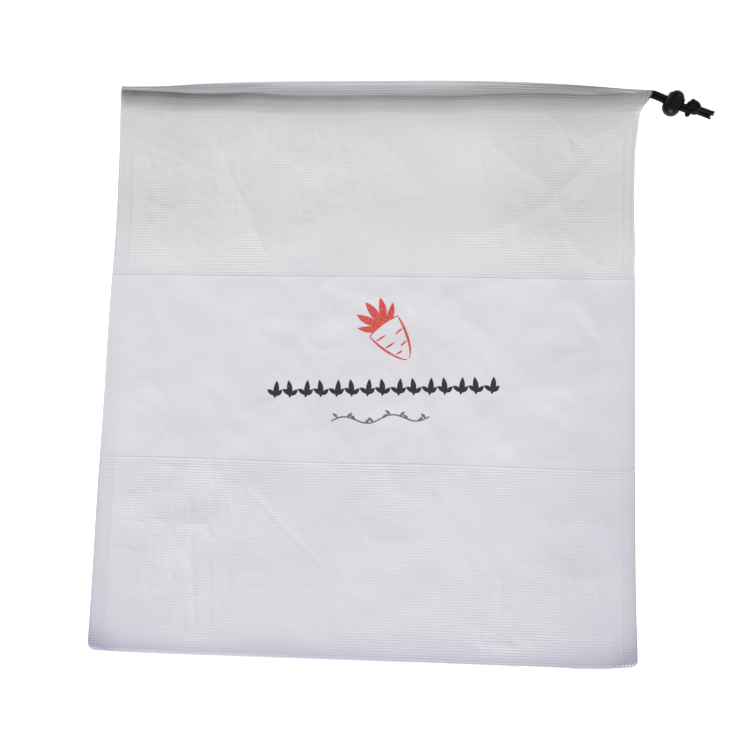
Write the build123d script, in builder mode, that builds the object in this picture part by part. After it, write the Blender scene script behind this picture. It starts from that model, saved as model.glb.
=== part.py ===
from build123d import *
import os
from math import cos, pi, radians, sin, tan

# A flat drawstring produce bag: mesh above and below a plain woven band, a casing along each
# lip of the mouth, one cord through both casings, and a sprung cord lock on its two tails.
# Millimetres.  The bag lies on its back on XY, +Z up, +Y to the mouth, +X to the cord exit.
# The origin is the bottom centre of the bag, measured without its free cord and cord lock.

# ---- driving dimensions ------------------------------------------------------------------
BODY_WIDTH = 318.0  # side fold to side fold
BODY_HEIGHT = 350.0  # bottom fold to the back lip
LIP_REACH = 8.0  # how far the casing ends stand out past the right side
THICKNESS = 13.4  # lightly opened, so that the mouth has a way in
CLOTH = 0.35  # one layer of mesh or band
CORNER_RADIUS = 8.0  # bottom corners, seen from above

UPPER_SEAM_BELOW_TOP = 122.4
LOWER_SEAM_BELOW_TOP = 234.5
FRONT_LIP_DROP = 3.6  # the front lip lies a little lower than the back lip

CASING_HEIGHT = 14.0
CASING_HOLLOW = 3.2
CORD_DIAMETER = 2.8
CORD_BELOW_FOLD = 3.3  # the cord lies this far below the top of its casing
CORD_PITCH = 2.9  # the two tails, centre to centre, side by side in the lock

SEAM_ALLOWANCE = 9.0
ALLOWANCE_GAP = 0.05  # between the allowance and the side fold
THREAD_WIDTH = 0.8
THREAD_HEIGHT = 0.2
INK_HEIGHT = 0.12

LOCK_RADIUS = 5.4
LOCK_LENGTH = 17.2
LOCK_AXIS_ANGLE = 60.0  # from +X, in the XY plane
LOCK_FROM_EXIT = (12.6, -6.8)  # where the tails cross the lock's axis
LOCK_CENTRE_Z = 5.5
TAIL_ANGLE = -25.0
BUTTON_TRAVEL = 1.5
KNOT_RADIUS = 4.4

# ---- worked out from them ----------------------------------------------------------------
LEFT = -(BODY_WIDTH + LIP_REACH) / 2
RIGHT = LEFT + BODY_WIDTH
LIP_END = RIGHT + LIP_REACH
BODY_X = (LEFT + RIGHT) / 2
BOTTOM = -BODY_HEIGHT / 2
BACK_TOP = BODY_HEIGHT / 2
FRONT_TOP = BACK_TOP - FRONT_LIP_DROP
UPPER_SEAM = BACK_TOP - UPPER_SEAM_BELOW_TOP
LOWER_SEAM = BACK_TOP - LOWER_SEAM_BELOW_TOP
MID_Z = THICKNESS / 2
CASING_THICKNESS = CASING_HOLLOW + 2 * CLOTH
CORD_RADIUS = CORD_DIAMETER / 2
FRONT_CORD_Z = THICKNESS - CASING_THICKNESS / 2
BACK_CORD_Z = CASING_THICKNESS / 2
FRONT_CORD_Y = FRONT_TOP - CASING_THICKNESS / 2 - CORD_BELOW_FOLD
BACK_CORD_Y = BACK_TOP - CASING_THICKNESS / 2 - CORD_BELOW_FOLD
CASING_LEFT = LEFT + MID_Z - 0.6  # reaches into the rounded side wall
CASING_RIGHT = RIGHT - 2

TAIL_DIR = Vector(cos(radians(TAIL_ANGLE)), sin(radians(TAIL_ANGLE)), 0)
TAIL_SIDE = Vector(-sin(radians(TAIL_ANGLE)), cos(radians(TAIL_ANGLE)), 0)
LOCK_DIR = Vector(cos(radians(LOCK_AXIS_ANGLE)), sin(radians(LOCK_AXIS_ANGLE)), 0)
EXIT_Y = (FRONT_CORD_Y + BACK_CORD_Y) / 2
CROSSING = Vector(LIP_END + LOCK_FROM_EXIT[0], EXIT_Y + LOCK_FROM_EXIT[1], LOCK_CENTRE_Z)
KNOT_CENTRE = CROSSING + Vector(12.0, -2.9, -0.9)

os.makedirs("parts", exist_ok=True)


# ---- the cloth ---------------------------------------------------------------------------
def section_at(y):
    """The plane across the bag at this y; extruding from it goes towards the bottom."""
    return Plane.XZ.offset(-y)


def half_section(middle_z):
    """One half of the bag's hollow section: middle_z is the middle of the half that stays."""
    with Locations((BODY_X, MID_Z)):
        SlotOverall(BODY_WIDTH, THICKNESS)
        SlotOverall(BODY_WIDTH - 2 * CLOTH, THICKNESS - 2 * CLOTH, mode=Mode.SUBTRACT)
    with Locations((BODY_X, middle_z)):
        Rectangle(BODY_WIDTH + 2, MID_Z, mode=Mode.INTERSECT)


FRONT_HALF = 0.75 * THICKNESS
BACK_HALF = 0.25 * THICKNESS

for name, half in (("front_center_panel", FRONT_HALF), ("back_center_panel", BACK_HALF)):
    with BuildPart() as band:
        with BuildSketch(section_at(UPPER_SEAM)):
            half_section(half)
        extrude(amount=UPPER_SEAM - LOWER_SEAM)
    band.part.label = name
    export_step(band.part, f"parts/{name}.step")

# An upper panel is its sheet, the casing folded along its top, the wall that closes the
# casing's left end, and the loose lip at its right end.
LIP_OUTLINE = ((-5, 0), (LIP_REACH, 0), (LIP_REACH, -5), (2, -14), (-5, -14))
for name, half, top, cord_z, lip_z in (
    ("front_upper_mesh", FRONT_HALF, FRONT_TOP, FRONT_CORD_Z, THICKNESS - CLOTH),
    ("back_upper_mesh", BACK_HALF, BACK_TOP, BACK_CORD_Z, 0),
):
    casing_bottom = top - CASING_HEIGHT
    sheet_top = casing_bottom + CASING_THICKNESS / 2 + 0.6
    with BuildPart() as upper:
        with BuildSketch(section_at(sheet_top)):
            half_section(half)
        extrude(amount=sheet_top - UPPER_SEAM)
        with BuildSketch(section_at(top)):
            half_section(half)
            with Locations((LEFT + MID_Z / 2, MID_Z)):
                Rectangle(MID_Z, 2 * THICKNESS, mode=Mode.INTERSECT)
        extrude(amount=top - sheet_top)
        with BuildSketch(Plane.YZ.offset(CASING_LEFT)):
            with Locations((top - CASING_HEIGHT / 2, cord_z)):
                SlotOverall(CASING_HEIGHT, CASING_THICKNESS)
                SlotOverall(CASING_HEIGHT - 2 * CLOTH, CASING_HOLLOW, mode=Mode.SUBTRACT)
        extrude(amount=CASING_RIGHT - CASING_LEFT)
        with BuildSketch(Plane.XY.offset(lip_z)):
            with BuildLine(Plane.XY.offset(lip_z)):
                Polyline(*[(RIGHT + x, top - CASING_THICKNESS / 2 + y) for x, y in LIP_OUTLINE],
                         close=True)
            make_face()
        extrude(amount=CLOTH)
    upper.part.label = name
    export_step(upper.part, f"parts/{name}.step")

# The lower mesh is one sheet folded along the bottom, so front and back are one piece.
LOWER_LENGTH = LOWER_SEAM - BOTTOM


def lower_pillow(inset):
    """The closed outline of the lower bag, drawn in by inset on every side but the seam's."""
    with BuildPart() as pillow:
        with BuildSketch(section_at(LOWER_SEAM)):
            with Locations((BODY_X, MID_Z)):
                SlotOverall(BODY_WIDTH - 2 * inset, THICKNESS - 2 * inset)
        extrude(amount=LOWER_LENGTH - inset)
        with BuildSketch(Plane.YZ.offset(LEFT)):
            with Locations((LOWER_SEAM, MID_Z)):
                SlotOverall(2 * (LOWER_LENGTH - inset), THICKNESS - 2 * inset)
        extrude(amount=BODY_WIDTH, mode=Mode.INTERSECT)
        with BuildSketch(Plane.XY):
            with Locations((BODY_X, LOWER_SEAM)):
                RectangleRounded(
                    BODY_WIDTH - 2 * inset, 2 * (LOWER_LENGTH - inset), CORNER_RADIUS - inset
                )
        extrude(amount=THICKNESS, mode=Mode.INTERSECT)
    return pillow.part


with BuildPart() as lower_mesh:
    add(lower_pillow(0))
    add(lower_pillow(CLOTH), mode=Mode.SUBTRACT)
lower_mesh.part.label = "lower_mesh"
export_step(lower_mesh.part, "parts/lower_mesh.step")


# ---- the thread --------------------------------------------------------------------------
# Rows of stitching lie on the outside of the front and on the inside of the back.
ROW_LENGTH = BODY_WIDTH - 2 * MID_Z - 2
for name, y, z in (
    ("front_casing_stitching", FRONT_TOP - CASING_HEIGHT + CASING_THICKNESS / 2, THICKNESS),
    ("front_upper_seam_stitching", UPPER_SEAM, THICKNESS),
    ("front_lower_seam_stitching", LOWER_SEAM, THICKNESS),
    ("back_casing_stitching", BACK_TOP - CASING_HEIGHT - THREAD_WIDTH, CLOTH),
    ("back_upper_seam_stitching", UPPER_SEAM, CLOTH),
    ("back_lower_seam_stitching", LOWER_SEAM, CLOTH),
):
    with BuildPart() as row:
        with BuildSketch(Plane.XY.offset(z)):
            with Locations((BODY_X, y)):
                SlotOverall(ROW_LENGTH, THREAD_WIDTH)
        extrude(amount=THREAD_HEIGHT)
    row.part.label = name
    export_step(row.part, f"parts/{name}.step")

# The overlocked edges of the front and back lie together inside each side fold.
OVERLOCK_BOTTOM = BOTTOM + CORNER_RADIUS
OVERLOCK_TOP = FRONT_TOP - CASING_HEIGHT - 1
for name, middle_x in (
    ("left_side_overlock", LEFT + CLOTH + ALLOWANCE_GAP + SEAM_ALLOWANCE / 2),
    ("right_side_overlock", RIGHT - CLOTH - ALLOWANCE_GAP - SEAM_ALLOWANCE / 2),
):
    with BuildPart() as overlock:
        with BuildSketch(Plane.XY.offset(MID_Z - CLOTH)):
            with Locations((middle_x, (OVERLOCK_TOP + OVERLOCK_BOTTOM) / 2)):
                Rectangle(SEAM_ALLOWANCE, OVERLOCK_TOP - OVERLOCK_BOTTOM)
        extrude(amount=2 * CLOTH)
    overlock.part.label = name
    export_step(overlock.part, f"parts/{name}.step")

# Two short bars of thread hold each casing end where the cord leaves it.
BAR_SPACING = 1.6
BAR_LENGTH = 4.2
for name, top, z in (
    ("front_casing_bartack", FRONT_TOP, THICKNESS),
    ("back_casing_bartack", BACK_TOP, CLOTH),
):
    with BuildPart() as bartack:
        with BuildSketch(Plane.XY.offset(z)):
            with Locations((RIGHT + 2.5, top - CASING_THICKNESS / 2 - BAR_LENGTH / 2 - 0.6)):
                with GridLocations(BAR_SPACING, 1, 2, 1):
                    SlotOverall(BAR_LENGTH, THREAD_WIDTH, rotation=90)
        extrude(amount=THREAD_HEIGHT)
    bartack.part.label = name
    export_step(bartack.part, f"parts/{name}.step")


# ---- the print on the front band ---------------------------------------------------------
FRUIT_CENTRE = (4.4, 19.5)
GARLAND_CENTRE = (5.0, -15.0)
GARLAND_STEP = 9.6
GARLAND_COUNT = 14
FLOURISH_CENTRE = (4.0, -34.4)
FLOURISH_STEP = 12.0
PRINT_SLANT = 2.2  # degrees, as the cloth lies
PRINT_PLANE = Plane.XY.offset(THICKNESS)

CARROT_TURN = 38  # the root's tip points down and to the right
CARROT_PLANE = PRINT_PLANE * Location(FRUIT_CENTRE, CARROT_TURN)
with BuildPart() as printed_carrot:
    with BuildSketch(CARROT_PLANE):
        with BuildLine():
            ThreePointArc((-7.5, 4), (0, 7.5), (7.5, 4))
            ThreePointArc((7.5, 4), (5.4, -9), (0, -21))
            ThreePointArc((0, -21), (-5.4, -9), (-7.5, 4))
        make_face()
        with Locations((0, -3.5)):
            Ellipse(4.6, 7.5, mode=Mode.SUBTRACT)
        for lean in (-32, 0, 32):
            with Locations(Location((0, 6), lean)):
                with Locations((0, 7.5)):
                    Ellipse(2.2, 6.2)
    extrude(amount=INK_HEIGHT)
printed_carrot.part.label = "printed_carrot"
export_step(printed_carrot.part, "parts/printed_carrot.step")

with BuildPart() as printed_garland:
    with BuildSketch(PRINT_PLANE):
        with Locations(Location(GARLAND_CENTRE, PRINT_SLANT)):
            with GridLocations(GARLAND_STEP, 1, GARLAND_COUNT, 1):
                Ellipse(1.5, 4.6, rotation=-32)
                with Locations((4.8, -2.6)):
                    Circle(0.9)
    extrude(amount=INK_HEIGHT)
printed_garland.part.label = "printed_garland"
export_step(printed_garland.part, "parts/printed_garland.step")

with BuildPart() as printed_flourish:
    with BuildSketch(PRINT_PLANE):
        with Locations(Location(FLOURISH_CENTRE, PRINT_SLANT)):
            with GridLocations(FLOURISH_STEP, 1, 5, 1):
                SlotArc(CenterArc((0, 0), 4.6, 20, 140), 0.9)
    extrude(amount=INK_HEIGHT)
printed_flourish.part.label = "printed_flourish"
export_step(printed_flourish.part, "parts/printed_flourish.step")


# ---- the drawstring ----------------------------------------------------------------------
def route_radii(points):
    """The largest arcs that the runs allow: 0.45 of the shorter run, over tan of half the turn."""
    points = [Vector(*point) for point in points]
    radii = []
    for before, corner, after in zip(points, points[1:], points[2:]):
        arriving = corner - before
        leaving = after - corner
        half_turn = radians(arriving.get_angle(leaving) / 2)
        radii.append(0.45 * min(arriving.length, leaving.length) / tan(half_turn))
    return radii


def cord_along(points, radii):
    """The cord's section swept along straight runs joined by tangent arcs, and its length."""
    start = Vector(*points[0])
    with BuildPart() as cord:
        with BuildLine():
            route = FilletPolyline(*points, radius=radii)
        with BuildSketch(Plane(origin=start, z_dir=Vector(*points[1]) - start)):
            Circle(CORD_RADIUS)
        sweep(path=route)
    return cord.part, route.length


RUN_LEFT = LEFT + MID_Z - 0.3
RUN_RIGHT = RIGHT - 6
for name, y, z in (
    ("drawstring_front_run", FRONT_CORD_Y, FRONT_CORD_Z),
    ("drawstring_back_run", BACK_CORD_Y, BACK_CORD_Z),
):
    with BuildPart() as run:
        with BuildSketch(Plane.YZ.offset(RUN_LEFT)):
            with Locations((y, z)):
                Circle(CORD_RADIUS)
        extrude(amount=RUN_RIGHT - RUN_LEFT)
    run.part.label = name
    export_step(run.part, f"parts/{name}.step")

# The cord turns from the front casing into the back one inside the left corner.
BIGHT_RADIUS = 4.4
BIGHT_LEFT = RUN_LEFT - BIGHT_RADIUS
BIGHT_ROUTE = [
    (RUN_LEFT, FRONT_CORD_Y, FRONT_CORD_Z),
    (BIGHT_LEFT, FRONT_CORD_Y, FRONT_CORD_Z),
    (BIGHT_LEFT, BACK_CORD_Y, BACK_CORD_Z),
    (RUN_LEFT, BACK_CORD_Y, BACK_CORD_Z),
]
drawstring_bight, _ = cord_along(BIGHT_ROUTE, [BIGHT_RADIUS - 0.01] * 2)
drawstring_bight.label = "drawstring_bight"
export_step(drawstring_bight, "parts/drawstring_bight.step")


def on_tail(side, along):
    """A point on the straight stretch of a tail: along is measured from the lock's crossing."""
    point = CROSSING + TAIL_SIDE * (side * CORD_PITCH / 2) + TAIL_DIR * along
    return (point.X, point.Y, point.Z)


STRAIGHT_FROM = -14.3
STRAIGHT_TO = 9.0
LEAVES_CASING = 2.0  # past the side fold, where the tail turns towards the lock
FRONT_TAIL = [
    (RUN_RIGHT, FRONT_CORD_Y, FRONT_CORD_Z),
    (RIGHT + LEAVES_CASING, FRONT_CORD_Y, FRONT_CORD_Z),
    on_tail(-1, STRAIGHT_FROM),
    on_tail(-1, STRAIGHT_TO),
]
BACK_TAIL = [
    (RUN_RIGHT, BACK_CORD_Y, BACK_CORD_Z),
    (RIGHT + LEAVES_CASING, BACK_CORD_Y, BACK_CORD_Z),
    on_tail(1, STRAIGHT_FROM),
    on_tail(1, STRAIGHT_TO),
]
KNOT_X, KNOT_Y, KNOT_Z = KNOT_CENTRE.X, KNOT_CENTRE.Y, KNOT_CENTRE.Z
FRONT_END = [
    (KNOT_X + 2.0, KNOT_Y - 2.2, KNOT_Z - 1.0),
    (KNOT_X + 5.2, KNOT_Y - 3.1, KNOT_Z - 2.3),
    (KNOT_X + 9.2, KNOT_Y - 4.4, CORD_RADIUS + 0.1),
]
BACK_END = [
    (KNOT_X + 2.6, KNOT_Y + 0.7, KNOT_Z - 0.4),
    (KNOT_X + 7.0, KNOT_Y - 0.1, KNOT_Z - 1.4),
    (KNOT_X + 12.0, KNOT_Y - 1.9, KNOT_Z - 2.6),
]
for name, points in (
    ("drawstring_front_tail", FRONT_TAIL),
    ("drawstring_back_tail", BACK_TAIL),
    ("drawstring_front_end", FRONT_END),
    ("drawstring_back_end", BACK_END),
):
    radii = route_radii(points)
    tail, length = cord_along(points, radii)
    tail.label = name
    export_step(tail, f"parts/{name}.step")
    section = pi * CORD_RADIUS**2
    print(name, "length", round(length, 2), "radii", [round(r, 2) for r in radii],
          "volume share", round(tail.volume / (length * section), 4))

# The overhand knot that ties both tails together: three turns of cord side by side.
KNOT_TURNS = 3
KNOT_HALF_LENGTH = KNOT_TURNS * CORD_RADIUS
KNOT_CORE = KNOT_RADIUS - CORD_RADIUS
KNOT_PLANE = Plane(origin=KNOT_CENTRE, x_dir=TAIL_DIR, z_dir=TAIL_DIR.cross(Vector(0, 0, 1)))
with BuildPart() as drawstring_knot:
    with BuildSketch(KNOT_PLANE):
        with BuildLine():
            for turn in range(KNOT_TURNS):
                left = -KNOT_HALF_LENGTH + turn * CORD_DIAMETER
                ThreePointArc(
                    (left, KNOT_CORE),
                    (left + CORD_RADIUS, KNOT_RADIUS),
                    (left + CORD_DIAMETER, KNOT_CORE),
                )
            Polyline(
                (KNOT_HALF_LENGTH, KNOT_CORE),
                (KNOT_HALF_LENGTH, 0),
                (-KNOT_HALF_LENGTH, 0),
                (-KNOT_HALF_LENGTH, KNOT_CORE),
            )
        make_face()
    revolve(axis=Axis(KNOT_CENTRE, TAIL_DIR))
drawstring_knot.part.label = "drawstring_knot"
export_step(drawstring_knot.part, "parts/drawstring_knot.step")


# ---- the cord lock -----------------------------------------------------------------------
# Local x runs along the lock's axis from its closed end to its button; local y is the radius.
LOCK_PLANE = Plane(origin=CROSSING, x_dir=LOCK_DIR, z_dir=LOCK_DIR.cross(Vector(0, 0, 1)))
LOCK_AXIS = Axis(CROSSING, LOCK_DIR)
TAIL_PLANE = Plane(origin=CROSSING, x_dir=TAIL_SIDE, z_dir=TAIL_DIR)
LOBE = LOCK_LENGTH / 2 - LOCK_RADIUS  # from the middle to the centre of each rounded end
RIM = 4.9
RIM_RADIUS = (LOCK_RADIUS**2 - (RIM - LOBE) ** 2) ** 0.5
HEAD_RADIUS = 4.4
HEAD_BORE = 4.55
HEAD_FOOT = 2.9
STEM_RADIUS = 3.4
STEM_BORE = 3.55
STEM_FOOT = -4.9
SPRING_POCKET_RADIUS = 2.5
SPRING_POCKET_FLOOR = -7.75
CLEARANCE = 0.2
SLOT_LENGTH = CORD_PITCH + CORD_DIAMETER + 2 * CLEARANCE
SLOT_WIDTH = CORD_DIAMETER + 2 * CLEARANCE
HALF = 0.5**0.5

with BuildPart() as lock_barrel:
    with BuildSketch(LOCK_PLANE):
        with BuildLine():
            ThreePointArc(
                (-LOBE - LOCK_RADIUS, 0),
                (-LOBE - LOCK_RADIUS * HALF, LOCK_RADIUS * HALF),
                (-LOBE, LOCK_RADIUS),
            )
            Line((-LOBE, LOCK_RADIUS), (LOBE, LOCK_RADIUS))
            RadiusArc((LOBE, LOCK_RADIUS), (RIM, RIM_RADIUS), LOCK_RADIUS)
            Polyline(
                (RIM, RIM_RADIUS),
                (RIM, HEAD_BORE),
                (HEAD_FOOT - BUTTON_TRAVEL - CLEARANCE, HEAD_BORE),
                (HEAD_FOOT - BUTTON_TRAVEL - CLEARANCE, STEM_BORE),
                (STEM_FOOT - BUTTON_TRAVEL - CLEARANCE, STEM_BORE),
                (STEM_FOOT - BUTTON_TRAVEL - CLEARANCE, SPRING_POCKET_RADIUS),
                (SPRING_POCKET_FLOOR, SPRING_POCKET_RADIUS),
                (SPRING_POCKET_FLOOR, 0),
                (-LOBE - LOCK_RADIUS, 0),
            )
        make_face()
    revolve(axis=LOCK_AXIS)
    with BuildSketch(TAIL_PLANE):
        SlotOverall(SLOT_LENGTH, SLOT_WIDTH)
    extrude(amount=2 * LOCK_RADIUS, both=True, mode=Mode.SUBTRACT)
lock_barrel.part.label = "lock_barrel"
export_step(lock_barrel.part, "parts/lock_barrel.step")

DOME_FOOT = 4.4
DOME_HEIGHT = LOCK_LENGTH / 2 - DOME_FOOT
with BuildPart() as lock_button:
    with BuildSketch(LOCK_PLANE):
        with BuildLine():
            Polyline(
                (LOCK_LENGTH / 2, 0),
                (STEM_FOOT, 0),
                (STEM_FOOT, STEM_RADIUS),
                (HEAD_FOOT, STEM_RADIUS),
                (HEAD_FOOT, HEAD_RADIUS),
                (DOME_FOOT, HEAD_RADIUS),
            )
            ThreePointArc(
                (DOME_FOOT, HEAD_RADIUS),
                (DOME_FOOT + DOME_HEIGHT * HALF, HEAD_RADIUS * HALF),
                (LOCK_LENGTH / 2, 0),
            )
        make_face()
    revolve(axis=LOCK_AXIS)
    with BuildSketch(TAIL_PLANE):
        with Locations((BUTTON_TRAVEL / 2, 0)):
            SlotOverall(SLOT_LENGTH + BUTTON_TRAVEL, SLOT_WIDTH)
    extrude(amount=2 * LOCK_RADIUS, both=True, mode=Mode.SUBTRACT)
lock_button.part.label = "lock_button"
export_step(lock_button.part, "parts/lock_button.step")

WIRE_RADIUS = 0.175
SPRING_RADIUS = 2.2
SPRING_HEIGHT = 2.35
SPRING_TURNS = 2.5
with BuildPart() as lock_spring:
    with BuildLine() as coil:
        Helix(
            pitch=SPRING_HEIGHT / SPRING_TURNS,
            height=SPRING_HEIGHT,
            radius=SPRING_RADIUS,
            center=CROSSING + LOCK_DIR * (SPRING_POCKET_FLOOR + WIRE_RADIUS + 0.06),
            direction=LOCK_DIR,
        )
    with BuildSketch(Plane(origin=coil.line @ 0, z_dir=coil.line % 0)):
        Circle(WIRE_RADIUS)
    sweep(path=coil.line, is_frenet=True)
lock_spring.part.label = "lock_spring"
export_step(lock_spring.part, "parts/lock_spring.step")

print("bag x", LEFT, RIGHT, LIP_END, "crossing", tuple(CROSSING))
print("lock axis", tuple(LOCK_DIR), "tail direction", tuple(TAIL_DIR), "knot", tuple(KNOT_CENTRE))
for name, points in (
    ("front tail", FRONT_TAIL),
    ("back tail", BACK_TAIL),
    ("front end", FRONT_END),
    ("back end", BACK_END),
):
    print(name, [tuple(round(value, 2) for value in point) for point in points])
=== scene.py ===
from math import cos, pi, radians, sin, tau

import bpy
import numpy as np
from mathutils import Matrix, Vector, noise


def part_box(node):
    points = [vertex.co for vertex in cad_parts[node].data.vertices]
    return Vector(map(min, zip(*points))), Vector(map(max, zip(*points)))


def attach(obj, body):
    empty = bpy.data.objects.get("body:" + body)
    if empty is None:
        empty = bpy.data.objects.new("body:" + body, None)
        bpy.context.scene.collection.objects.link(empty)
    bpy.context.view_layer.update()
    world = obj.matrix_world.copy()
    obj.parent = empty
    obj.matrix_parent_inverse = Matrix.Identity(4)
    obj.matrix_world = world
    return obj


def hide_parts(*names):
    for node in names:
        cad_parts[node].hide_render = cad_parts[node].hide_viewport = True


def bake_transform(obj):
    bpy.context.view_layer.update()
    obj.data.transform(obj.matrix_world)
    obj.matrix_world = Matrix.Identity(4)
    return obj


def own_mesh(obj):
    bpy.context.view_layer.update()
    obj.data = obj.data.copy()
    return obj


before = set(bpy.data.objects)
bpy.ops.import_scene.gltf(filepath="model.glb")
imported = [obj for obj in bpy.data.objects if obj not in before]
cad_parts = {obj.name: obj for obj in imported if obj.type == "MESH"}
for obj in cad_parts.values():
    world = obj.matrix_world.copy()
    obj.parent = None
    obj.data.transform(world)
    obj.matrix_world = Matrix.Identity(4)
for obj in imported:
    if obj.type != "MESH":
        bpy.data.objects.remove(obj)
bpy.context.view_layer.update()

# A flat drawstring produce bag, lying on its back: knitted mesh above and below a plain woven
# band, a casing along each lip of the mouth, one cord through both, and a sprung cord lock on its
# two tails.  Shapes are worked out in millimetres in the bag's own frame, then put in metres.
MM = 0.001


def box_mm(node):
    low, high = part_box(node)
    return Vector(low) / MM, Vector(high) / MM


band_low, band_high = box_mm("front_center_panel")
BACK_TOP = box_mm("back_upper_mesh")[1].y
LIP_END = box_mm("back_upper_mesh")[1].x
BOTTOM = box_mm("lower_mesh")[0].y
LEFT = band_low.x
RIGHT = band_high.x
WIDTH = RIGHT - LEFT
UPPER_SEAM = band_high.y
LOWER_SEAM = band_low.y

CORD_RADIUS = 1.4
ALLOWANCE = 9.4  # the overlocked side seam lies this far in under the front
HEM = 13.0  # top fold to hem stitch, on the front
BACK_HEM = 17.0
FLOOR_GAP = 0.05  # the back cloth's lowest height above the floor
NOSE_RADIUS = 1.9  # the front casing's fold, round its cord
NOSE_Z = 4.0
SIDE_Z = 1.3  # where front and back meet along the side folds


# ---- the camera --------------------------------------------------------------------------
def make_camera():
    azimuth = radians(22.535)
    elevation = radians(79.433)
    roll = radians(-21.124)
    back = Vector((sin(azimuth) * cos(elevation), -cos(azimuth) * cos(elevation), sin(elevation)))
    level = Vector((0, 0, 1)).cross(back).normalized()
    upright = back.cross(level)
    right = level * cos(roll) + upright * sin(roll)
    up = upright * cos(roll) - level * sin(roll)
    bpy.ops.object.camera_add()
    camera = bpy.context.active_object
    camera.name = "camera"
    camera.data.lens = 75.7
    camera.data.sensor_width = 36
    target = Vector((-0.0001, -0.0075, 0))
    distance = 0.940
    place = Matrix((right, up, back)).transposed().to_4x4()
    place.translation = target + back * distance
    camera.matrix_world = place
    camera.data.clip_start = 0.01
    bpy.context.scene.camera = camera


make_camera()
bpy.ops.object.select_all(action="DESELECT")


# ---- materials ---------------------------------------------------------------------------
def srgb(code):
    """A hex colour as the linear values that a shader takes."""
    values = [int(code[i:i + 2], 16) / 255 for i in (1, 3, 5)]
    linear = [v / 12.92 if v <= 0.04045 else ((v + 0.055) / 1.055) ** 2.4 for v in values]
    return (*linear, 1.0)


def add_node(tree, kind, settings=None, **links):
    """A node with its settings, and each named input set to a value or linked to an output.

    An input is named as it is shown, with _ for a space, or i0, i1 and so on by its place."""
    node = tree.nodes.new(kind)
    for key, value in (settings or {}).items():
        setattr(node, key, value)
    for key, value in links.items():
        by_place = key[:1] == "i" and key[1:].isdigit()
        socket = node.inputs[int(key[1:]) if by_place else key.replace("_", " ")]
        if isinstance(value, bpy.types.NodeSocket):
            tree.links.new(value, socket)
        else:
            socket.default_value = value
    return node


def new_material(name, colour, roughness, **settings):
    material = bpy.data.materials.new(name)
    material.use_nodes = True
    shader = material.node_tree.nodes["Principled BSDF"]
    shader.inputs["Base Color"].default_value = srgb(colour)
    shader.inputs["Roughness"].default_value = roughness
    for key, value in settings.items():
        shader.inputs[key.replace("_", " ")].default_value = value
    return material, material.node_tree, shader


def noise_on_piece(tree, scale, detail=2.0):
    """Noise fixed to the piece, with so many lumps to the metre."""
    place = add_node(tree, "ShaderNodeTexCoord").outputs["Object"]
    return add_node(tree, "ShaderNodeTexNoise", Vector=place, Scale=scale, Detail=detail).outputs["Fac"]


def ramp(tree, share, low, high, start=0.0, end=1.0):
    """From one colour to another, as share goes from start to end."""
    node = add_node(tree, "ShaderNodeValToRGB", Fac=share)
    stops = node.color_ramp.elements
    stops[0].position, stops[0].color = start, low
    stops[1].position, stops[1].color = end, high
    return node.outputs["Color"]


def relief(tree, shader, height, strength, depth):
    """Bump from a value, its depth in millimetres."""
    bump = add_node(tree, "ShaderNodeBump", Strength=strength, Distance=depth * MM, Height=height)
    tree.links.new(bump.outputs["Normal"], shader.inputs["Normal"])


def cloth_colour(tree, shader, plain, shade):
    """Cloth is never quite even: a slow drift between two close whites, over some 40 mm."""
    drift = noise_on_piece(tree, 25.0, 3.0)
    tree.links.new(ramp(tree, drift, srgb(shade), srgb(plain), 0.35, 0.65),
                   shader.inputs["Base Color"])


def tint(tree, shader, attribute, colour):
    """Turns the base colour towards another where the piece's attribute says."""
    share = add_node(tree, "ShaderNodeAttribute", {"attribute_name": attribute}).outputs["Fac"]
    plain = shader.inputs["Base Color"].links[0].from_socket
    mixed = add_node(tree, "ShaderNodeMix", {"data_type": "RGBA"}, Factor=share)
    tree.links.new(plain, mixed.inputs[6])
    mixed.inputs[7].default_value = srgb(colour)
    tree.links.new(mixed.outputs[2], shader.inputs["Base Color"])


def weave_bump(tree, shader, across, along, height):
    """A one-over-one weave on the piece's own UV map, which is in metres.

    across and along are its thread spacings in millimetres."""
    uv = add_node(tree, "ShaderNodeUVMap").outputs["UV"]
    parts = add_node(tree, "ShaderNodeSeparateXYZ", Vector=uv)
    crests = []
    for axis, pitch in (("X", across), ("Y", along)):
        turn = add_node(tree, "ShaderNodeMath", {"operation": "MULTIPLY"},
                        i0=parts.outputs[axis], i1=pi / (pitch * MM))
        crests.append(add_node(tree, "ShaderNodeMath", {"operation": "SINE"}, i0=turn.outputs[0]))
    woven = add_node(tree, "ShaderNodeMath", {"operation": "MULTIPLY"},
                     i0=crests[0].outputs[0], i1=crests[1].outputs[0])
    relief(tree, shader, woven.outputs[0], 0.6, height)


DOUBLED_CLOTH_AND_SHADE = "#A9A4B7"  # painted shade: the bluish grey of doubled white cloth, and of the shade at the folds


def mesh_knit(name, plain, shade):
    """Warp-knitted polyester mesh, white, matt with a slight sheen from its filaments.

    It is thin enough for what lies behind to show. Two attributes darken it: one for the black cord
    showing through, with painted shade under the casing's roll, towards the mouth and on the back's
    inner strip; the other for the doubled cloth of the seams, with painted shade along the side folds,
    the bottom fold and the lower part."""
    material, tree, shader = new_material(name, plain, 0.62, Sheen_Weight=0.12, Sheen_Roughness=0.5)
    cloth_colour(tree, shader, plain, shade)
    # Painted shade: both tints darken the white cloth, partly for what shows through it, partly for
    # shade.
    tint(tree, shader, "layers_and_shade", DOUBLED_CLOTH_AND_SHADE)
    tint(tree, shader, "cord_and_shade", "#6E6B69")
    weave_bump(tree, shader, 0.42, 0.55, 0.05)
    return material


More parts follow.
